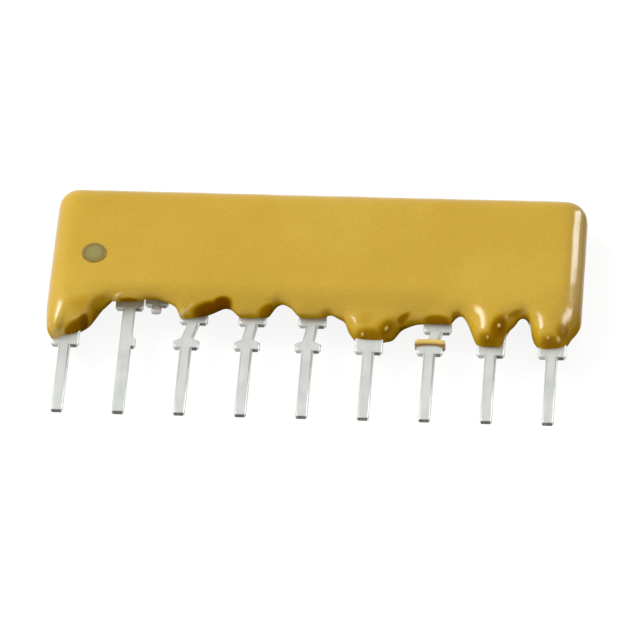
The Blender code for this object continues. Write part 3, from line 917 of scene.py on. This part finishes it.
def tin_material():
    finish = Finish("tinned sheet")
    drawn = finish.noise(scale=500.0, detail=3.0, stretch=(6.0, 1.0, 1.0))
    clouds = finish.noise(scale=900.0, detail=3.0)
    base = finish.ramp(
        finish.blend(0.5, drawn, clouds),
        (0.35, colour(198, 202, 196)),
        (0.5, colour(206, 209, 204)),
        (0.65, colour(214, 217, 212)),
    )
    rough = finish.reach(clouds, low=0.3, high=0.7, to_low=0.36, to_high=0.46)
    finish.shade(Base_Color=base, Metallic=0.25, Roughness=rough)
    finish.shade(Normal=finish.bump(drawn, strength=0.1))
    return finish.material


def edge_highlight_material():
    """The rounded long edges, whiter and less metallic than the strip: a painted highlight."""
    finish = Finish("tin edges with painted highlight")
    clouds = finish.noise(scale=1500.0, detail=2.0)
    base = finish.ramp(clouds, (0.35, colour(236, 238, 236)), (0.65, colour(250, 250, 250)))
    finish.shade(Base_Color=base, Metallic=0.2, Roughness=0.3)
    return finish.material


def core_material():
    finish = Finish("sheared core of the sheet")
    grain = finish.noise(scale=6000.0, detail=3.0, stretch=(2.0, 1.0, 0.5))
    base = finish.ramp(grain, (0.35, colour(84, 82, 78)), (0.65, colour(128, 124, 118)))
    finish.shade(Base_Color=base, Metallic=1.0, Roughness=0.5)
    finish.shade(Normal=finish.bump(grain, strength=0.3))
    return finish.material


tin = tin_material()
core = core_material()
tin_edge_highlight = edge_highlight_material()
for name in [f"lead_{number}" for number in LEADS] + ["cropped_lead"]:
    low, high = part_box(name)
    piece = as_object(name + "_tinned", rounded_lead(nodes[name], (low.x + high.x) / 2 / MM))
    piece.data.set_sharp_from_angle(angle=SMOOTH_ANGLE)
    for face in piece.data.polygons:
        face.use_smooth = abs(face.normal.z) < FLAT_FACE and face.normal.y > -FLAT_FACE
    dress(piece, [name], "tinned_lead", tin, core, tin_edge_highlight)
print("leads:", len(LEADS) + 1)

# %% [markdown]
# ## The splash on lead 7
# A little epoxy was left on the standoff of lead 7. It wraps the metal as a thin collar. Its
# front is thin and pale. The dark line along its lower edge is painted shade. The number painted
# on it says how far the surface has turned from the front over the underside to the back, as a
# share of half a turn, and the colour goes dark where the surface starts to face down.

# %% Splash
SPLASH_VOXEL = 0.02  # millimetres
SPLASH_RELAX_STEPS = 4
SPLASH_ARCH = 0.05  # millimetres that its two ends hang below its middle


def splash_material():
    finish = Finish("thin epoxy")
    turned = finish.attribute("turned")
    # Pale front, then painted shade as a dark band where it turns down, lighter again towards the back
    base = finish.ramp(
        turned,
        (0.0, colour(236, 206, 122)),
        (0.30, colour(222, 180, 84)),
        (0.40, colour(136, 94, 22)),
        (0.50, colour(196, 156, 92)),
        (1.0, colour(236, 212, 170)),
    )
    grain = finish.noise(scale=4000.0, detail=2.0)
    cloud = finish.reach(grain, low=0.3, high=0.7, to_low=0.95, to_high=1.05)
    clouded = finish.blend(1.0, base, cloud, "MULTIPLY")
    finish.shade(Base_Color=clouded, Roughness=0.25, Specular_IOR_Level=0.35)
    return finish.material


def make_splash():
    """The collar, finer and softer than the solid, and a little arched."""
    work = modified(
        merged_copy(nodes["coating_splash"]), "REMESH", mode="VOXEL", voxel_size=SPLASH_VOXEL
    )
    relax(work, SPLASH_RELAX_STEPS)
    work.normal_update()
    middle = sum((vertex.co.x for vertex in work.verts), 0.0) / len(work.verts)
    half = max(abs(vertex.co.x - middle) for vertex in work.verts)
    turned = work.verts.layers.float.new("turned")
    for vertex in work.verts:
        vertex[turned] = max(math.atan2(-vertex.normal.y, vertex.normal.z) / math.pi, 0.0)
        vertex.co.y -= SPLASH_ARCH * ((vertex.co.x - middle) / half) ** 2
    print("splash faces:", len(work.faces))
    return as_object("splash_collar", work)


collar = make_splash()
collar.data.shade_smooth()
dress(collar, ["coating_splash"], "epoxy", splash_material())

# %% [markdown]
# ## The ink dot
# The mark beside lead 1 is a round spot of ink, darker towards its rim, where the ink dried last.
# The solid has few corners. A finer disc takes its place, extruded from a circle and with a soft
# edge. Its colour follows the distance from its middle, with some noise in it.

# %% Ink dot
DOT_SEGMENTS = 96
DOT_EDGE = 0.008  # millimetres
DOT_EDGE_SEGMENTS = 3


def make_dot():
    """The dot, and its middle and radius in metres for its material."""
    low, high = (Vector(corner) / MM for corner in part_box("pin_1_dot"))
    middle = (low + high) / 2
    radius = (high.x - low.x) / 2
    work = bmesh.new()
    bmesh.ops.create_circle(work, cap_ends=True, segments=DOT_SEGMENTS, radius=radius)
    raised = bmesh.ops.extrude_face_region(work, geom=work.faces[:])
    top = [item for item in raised["geom"] if isinstance(item, bmesh.types.BMVert)]
    bmesh.ops.translate(work, verts=top, vec=(0, 0, high.z - low.z))
    rim = [edge for edge in work.edges if all(vertex in top for vertex in edge.verts)]
    bmesh.ops.bevel(
        work,
        geom=rim,
        offset=DOT_EDGE,
        affect="EDGES",
        segments=DOT_EDGE_SEGMENTS,
        profile=0.5,
        material=-1,
    )
    bmesh.ops.recalc_face_normals(work, faces=work.faces)
    bmesh.ops.translate(work, verts=work.verts, vec=(middle.x, middle.y, low.z))
    print("dot radius in mm:", round(radius, 3))
    return as_object("ink_dot", work), middle * MM, radius * MM


def ink_material(middle, radius):
    finish = Finish("grey green ink")
    gap = finish.node("ShaderNodeVectorMath", {"operation": "DISTANCE"})
    finish.tree.links.new(finish.place(), gap.inputs[0])
    gap.inputs[1].default_value = middle
    grain = finish.noise(scale=3000.0, detail=3.0)
    cloud = finish.reach(grain, low=0.3, high=0.7, to_low=-0.12, to_high=0.12)
    share = finish.reach(gap.outputs["Value"], low=0.0, high=radius)
    wavy = finish.node("ShaderNodeMath", {"operation": "ADD"})
    finish.tree.links.new(share, wavy.inputs[0])
    finish.tree.links.new(cloud, wavy.inputs[1])
    base = finish.ramp(
        wavy.outputs[0],
        (0.0, colour(150, 140, 74)),
        (0.6, colour(142, 130, 62)),
        (0.85, colour(122, 102, 34)),
        (1.0, colour(150, 122, 40)),
    )
    finish.shade(Base_Color=base, Roughness=0.45)
    return finish.material


dot, dot_middle, dot_radius = make_dot()
dress(dot, ["pin_1_dot"], "ink", ink_material(dot_middle, dot_radius))

# %% [markdown]
# ## What the coating hides
# The plate, its printed layers and the solder can't be seen while the coating is whole. They
# keep the shapes of the solid model and get finishes of their own, for anyone who hides the
# coating: fired ceramic with a fine grain, metal films, a dull black film for the resistors,
# green glass over them, and bright solder.


# %% Finishes for the inner pieces
def grained(name, dark, light, scale, roughness, metallic=0.0):
    """A finish of two close tones in clouds, with a slight relief."""
    finish = Finish(name)
    grain = finish.noise(scale, detail=3.0)
    base = finish.ramp(grain, (0.35, colour(*dark)), (0.65, colour(*light)))
    finish.shade(Base_Color=base, Metallic=metallic, Roughness=roughness)
    finish.shade(Normal=finish.bump(grain, strength=0.1))
    return finish.material


# By the start of a node's name: dark and light tone, features to a metre, roughness, metal
INNER_FINISHES = {
    "alumina_substrate": grained("alumina", (228, 225, 216), (240, 238, 231), 9000.0, 0.6),
    "bus_conductor": grained("silver film", (176, 172, 163), (196, 192, 184), 6000.0, 0.45, 1.0),
    "terminal_pad": grained("pad film", (180, 176, 167), (200, 196, 188), 6000.0, 0.45, 1.0),
    "resistor_film": grained("resistor film", (38, 38, 42), (54, 54, 58), 7000.0, 0.55),
    "glass_overglaze": grained("green glass", (58, 104, 84), (72, 120, 96), 3000.0, 0.2),
    "solder_joint": grained("solder", (196, 198, 200), (216, 218, 220), 3000.0, 0.3, 1.0),
}


def finish_of(name):
    """The finish of an inner node, or None for a node that has a new piece."""
    return next((made for start, made in INNER_FINISHES.items() if name.startswith(start)), None)


inner = {name: finish_of(name) for name in nodes if finish_of(name)}
for name, made in inner.items():
    nodes[name].data.materials.clear()
    nodes[name].data.materials.append(made)
print("inner pieces:", len(inner))
